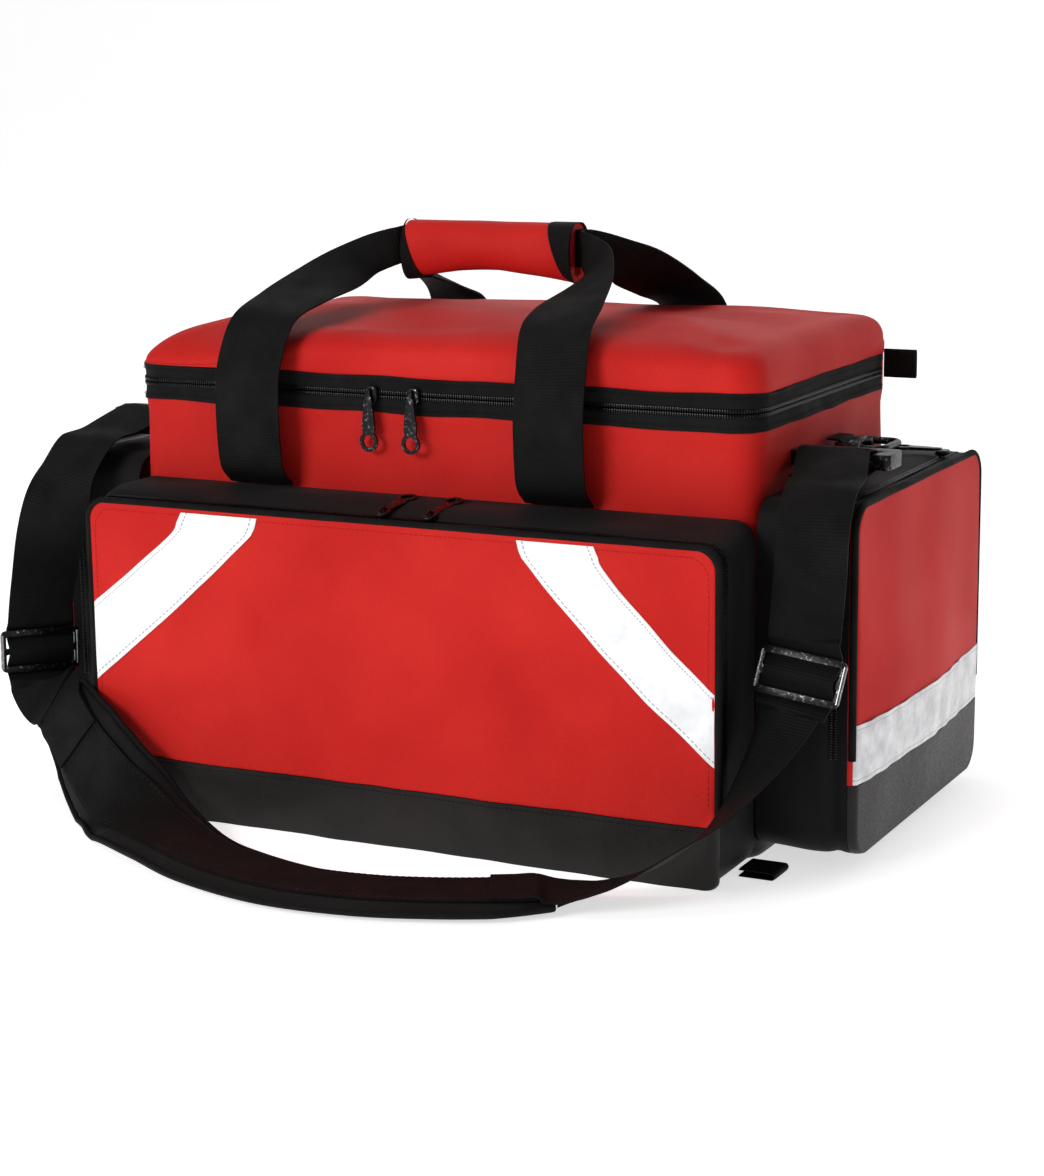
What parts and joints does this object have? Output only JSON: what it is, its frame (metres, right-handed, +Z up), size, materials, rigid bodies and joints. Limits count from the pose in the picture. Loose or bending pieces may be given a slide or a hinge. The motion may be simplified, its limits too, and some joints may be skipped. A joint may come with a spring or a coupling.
{
  "type": "trauma duffel bag",
  "caption": "Padded trauma duffel with zipped lid, front and end pockets, reflective tape, wrapped carrying grip and a padded shoulder strap on snap hooks.",
  "frame": {"origin": "middle of the bag's base, on the surface it stands on", "axes": "+X along the bag to its right end, -Y towards its front pocket, +Z up"},
  "size_m": [0.6341, 0.4873, 0.4036],
  "materials": {
    "red_nylon": "plain-weave coated nylon, padded",
    "black_webbing": "ribbed nylon webbing",
    "black_vinyl": "grained vinyl-coated fabric",
    "zip_tape": "charcoal zip tape with a coil",
    "reflective_tape": "glossy silver-white reflective tape",
    "dark_metal": "gunmetal, worn bright at the edges",
    "stiffener_board": "plain sheet"
  },
  "bodies": {
    "bag": {"base_boot": "black_vinyl", "bottom_board": "stiffener_board", "main_shell": "red_nylon", "zip_tape_lower": "zip_tape", "rear_band_lower": "red_nylon", "front_gusset": "black_vinyl", "front_base_band": "black_vinyl", "end_gusset_left": "black_vinyl", "end_gusset_right": "black_vinyl", "end_base_left": "black_vinyl", "end_base_right": "black_vinyl", "d_ring_tab_left": "black_webbing", "d_ring_tab_right": "black_webbing", "d_ring_left": "dark_metal", "d_ring_right": "dark_metal", "lash_loop_left": "black_webbing", "lash_loop_right": "black_webbing", "rear_web_anchor_left": "black_webbing", "rear_web_anchor_right": "black_webbing"},
    "lid": {"lid_shell": "red_nylon", "zip_tape_upper": "zip_tape", "rear_band_upper": "red_nylon", "zip_tab_left": "black_webbing", "zip_tab_right": "black_webbing"},
    "front_panel": {"front_panel": "red_nylon", "front_stripe_left": "reflective_tape", "front_stripe_right": "reflective_tape"},
    "front_webs": {"front_web_left": "black_webbing", "front_web_right": "black_webbing"},
    "front_handle": {"front_handle_web": "black_webbing", "grip_front": "red_nylon"},
    "rear_handle": {"rear_handle_web": "black_webbing", "grip_rear": "red_nylon"},
    "strap": {"shoulder_pad": "black_webbing", "strap_web_left": "black_webbing", "strap_web_right": "black_webbing", "tri_glide_left": "dark_metal", "tri_glide_right": "dark_metal", "swivel_eye_left": "dark_metal", "swivel_eye_right": "dark_metal", "hook_body_left": "dark_metal", "hook_body_right": "dark_metal"},
    "end_panel_left": {"end_panel_left": "red_nylon", "end_stripe_left": "reflective_tape"},
    "main_slider_left": {"main_slider_left": "dark_metal"},
    "main_pull_left": {"main_pull_left": "dark_metal"},
    "front_slider_left": {"front_slider_left": "dark_metal"},
    "front_pull_left": {"front_pull_left": "dark_metal"},
    "end_slider_left": {"end_slider_left": "dark_metal"},
    "hook_gate_left": {"hook_gate_left": "dark_metal"},
    "end_panel_right": {"end_panel_right": "red_nylon", "end_stripe_right": "reflective_tape"},
    "main_slider_right": {"main_slider_right": "dark_metal"},
    "main_pull_right": {"main_pull_right": "dark_metal"},
    "front_slider_right": {"front_slider_right": "dark_metal"},
    "front_pull_right": {"front_pull_right": "dark_metal"},
    "end_slider_right": {"end_slider_right": "dark_metal"},
    "hook_gate_right": {"hook_gate_right": "dark_metal"}
  },
  "joints": [
    {"name": "lid_hinge", "type": "hinge", "parent": "bag", "child": "lid", "pos_m": [0, 0.13, 0.294], "axis": [-1, 0, 0], "range_deg": [0, 90]},
    {"name": "front_web_fold", "type": "hinge", "parent": "bag", "child": "front_webs", "pos_m": [0, -0.134, 0.229], "axis": [1, 0, 0], "range_deg": [0, 54]},
    {"name": "front_handle_fold", "type": "hinge", "parent": "front_webs", "child": "front_handle", "pos_m": [0, -0.146, 0.312], "axis": [1, 0, 0], "range_deg": [0, 132.3]},
    {"name": "rear_handle_swing", "type": "hinge", "parent": "bag", "child": "rear_handle", "pos_m": [0, 0.134, 0.229], "axis": [-1, 0, 0], "range_deg": [0, 90]},
    {"name": "strap_swing", "type": "hinge", "parent": "bag", "child": "strap", "pos_m": [0, -0.012, 0.258], "axis": [-1, 0, 0], "range_deg": [0, 140]},
    {"name": "front_panel_hinge", "type": "hinge", "parent": "bag", "child": "front_panel", "pos_m": [0, -0.1925, 0.0413], "axis": [1, 0, 0], "range_deg": [0, 84]},
    {"name": "main_slider_left_slide", "type": "slide", "parent": "bag", "child": "main_slider_left", "axis": [1, 0, 0], "range_m": [-0.164, 0]},
    {"name": "main_slider_right_slide", "type": "slide", "parent": "bag", "child": "main_slider_right", "axis": [1, 0, 0], "range_m": [0, 0.214]},
    {"name": "front_slider_left_slide", "type": "slide", "parent": "bag", "child": "front_slider_left", "axis": [1, 0, 0], "range_m": [-0.19, 0]},
    {"name": "front_slider_right_slide", "type": "slide", "parent": "bag", "child": "front_slider_right", "axis": [1, 0, 0], "range_m": [0, 0.18]},
    {"name": "main_pull_left_swing", "type": "hinge", "parent": "main_slider_left", "child": "main_pull_left", "pos_m": [-0.041, -0.1376, 0.292], "axis": [-1, 0, 0], "range_deg": [0, 150]},
    {"name": "main_pull_right_swing", "type": "hinge", "parent": "main_slider_right", "child": "main_pull_right", "pos_m": [-0.009, -0.1376, 0.292], "axis": [-1, 0, 0], "range_deg": [0, 150]},
    {"name": "front_pull_left_swing", "type": "hinge", "parent": "front_slider_left", "child": "front_pull_left", "pos_m": [-0.008, -0.1716, 0.2241], "axis": [1, 0, 0], "range_deg": [0, 105]},
    {"name": "front_pull_right_swing", "type": "hinge", "parent": "front_slider_right", "child": "front_pull_right", "pos_m": [0.027, -0.1716, 0.2241], "axis": [1, 0, 0], "range_deg": [0, 105]},
    {"name": "end_panel_left_hinge", "type": "hinge", "parent": "bag", "child": "end_panel_left", "pos_m": [-0.308, 0, 0.0603], "axis": [0, -1, 0], "range_deg": [0, 85]},
    {"name": "end_slider_left_slide", "type": "slide", "parent": "bag", "child": "end_slider_left", "axis": [0, 1, 0], "range_m": [-0.195, 0]},
    {"name": "hook_gate_left_swing", "type": "hinge", "parent": "strap", "child": "hook_gate_left", "pos_m": [-0.265, -0.0235, 0.2653], "axis": [-1, 0, 0], "range_deg": [0, 15], "stiffness_Nm_per_rad": 0.01},
    {"name": "end_panel_right_hinge", "type": "hinge", "parent": "bag", "child": "end_panel_right", "pos_m": [0.308, 0, 0.0603], "axis": [0, 1, 0], "range_deg": [0, 85]},
    {"name": "end_slider_right_slide", "type": "slide", "parent": "bag", "child": "end_slider_right", "axis": [0, 1, 0], "range_m": [-0.195, 0]},
    {"name": "hook_gate_right_swing", "type": "hinge", "parent": "strap", "child": "hook_gate_right", "pos_m": [0.265, -0.0235, 0.2653], "axis": [-1, 0, 0], "range_deg": [0, 15], "stiffness_Nm_per_rad": 0.01}
  ],
  "couplings": [
    {"joint": "front_web_fold", "follows": "lid_hinge", "ratio": 0.6},
    {"joint": "front_handle_fold", "follows": "lid_hinge", "ratio": 1.47},
    {"joint": "rear_handle_swing", "follows": "lid_hinge", "ratio": 1},
    {"joint": "front_panel_hinge", "follows": "strap_swing", "ratio": 0.6}
  ]
}
